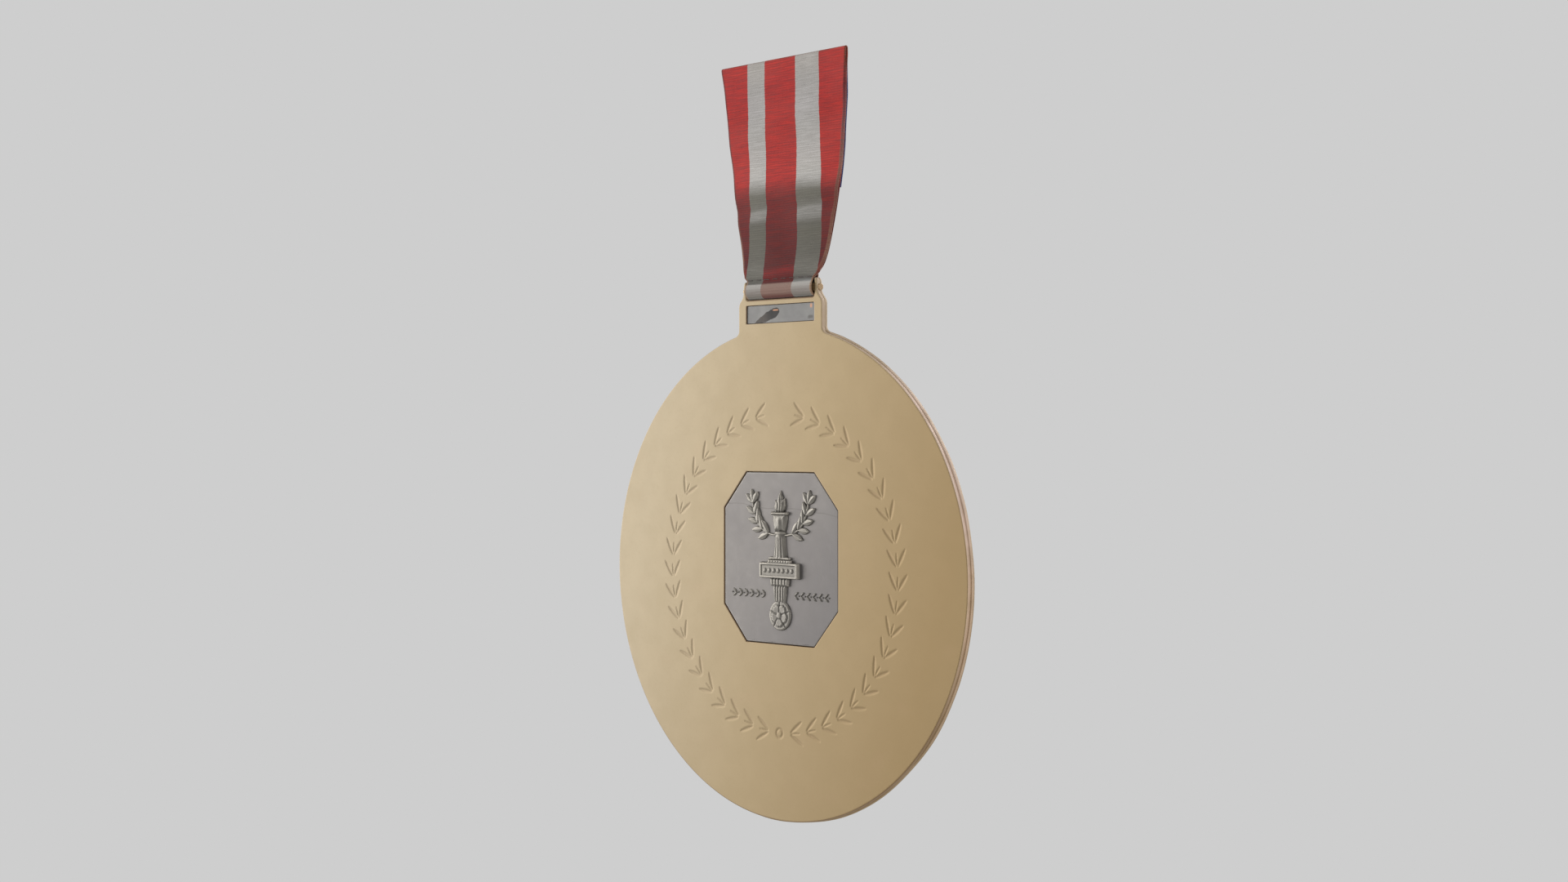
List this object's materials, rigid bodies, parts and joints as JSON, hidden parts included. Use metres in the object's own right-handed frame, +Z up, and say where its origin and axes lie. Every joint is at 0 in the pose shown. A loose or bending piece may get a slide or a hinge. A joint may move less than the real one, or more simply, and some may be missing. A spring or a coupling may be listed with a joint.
{
  "type": "award medal",
  "caption": "Round two-plate award medal with an inset octagonal plaque, hanging by a lug rod from a short striped ribbon with a sewn-on locking brooch behind its top.",
  "frame": {"origin": "middle of the ribbon's top fold, the point the medal hangs from", "axes": "+Z up, -Y the way the obverse faces, +X to the viewer's right"},
  "size_m": [0.0704, 0.0051, 0.1082],
  "materials": {
    "gilt_front": "satin gilt",
    "gilt_back": "satin gilt",
    "plaque_silver": "matt silvered",
    "emblem_silver": "antiqued silver relief",
    "inlay_silver": "matt silvered",
    "stud_brass": "bright",
    "rod_brass": "satin",
    "ribbon_cloth": "ribbed woven ribbon, red with two grey stripes",
    "backing_cloth": "ribbed navy lining",
    "thread_grey": "sewing thread",
    "thread_navy": "sewing thread",
    "brooch_brass": "plated",
    "pin_steel": "bright nickel"
  },
  "bodies": {
    "ribbon": {"ribbon": "ribbon_cloth", "ribbon_backing": "backing_cloth", "backing_stitches": "thread_navy", "seam_stitches": "thread_grey", "brooch_base": "brooch_brass", "brooch_hinge_rivet": "stud_brass", "brooch_stitches": "thread_navy"},
    "medal": {"front_plate": "gilt_front", "back_plate": "gilt_back", "plate_studs": "stud_brass", "plaque": "plaque_silver", "plaque_studs": "stud_brass", "lug_inlay": "inlay_silver", "inlay_studs": "stud_brass", "emblem": "emblem_silver", "emblem_posts": "stud_brass", "suspension_rod": "rod_brass"},
    "brooch_pin": {"brooch_pin": "pin_steel"},
    "brooch_lock": {"brooch_lock": "brooch_brass"}
  },
  "joints": [
    {"name": "medal_swing", "type": "hinge", "parent": "ribbon", "child": "medal", "pos_m": [0, 0, -0.0327], "axis": [1, 0, 0], "range_deg": [-95, 95]},
    {"name": "brooch_pin_swing", "type": "hinge", "parent": "ribbon", "child": "brooch_pin", "pos_m": [-0.0089, 0.0026, -0.0042], "axis": [0, 0, 1], "range_deg": [0, 75]},
    {"name": "brooch_lock_turn", "type": "hinge", "parent": "ribbon", "child": "brooch_lock", "pos_m": [0.006, 0.0026, -0.0042], "axis": [-1, 0, 0], "range_deg": [0, 120]}
  ]
}
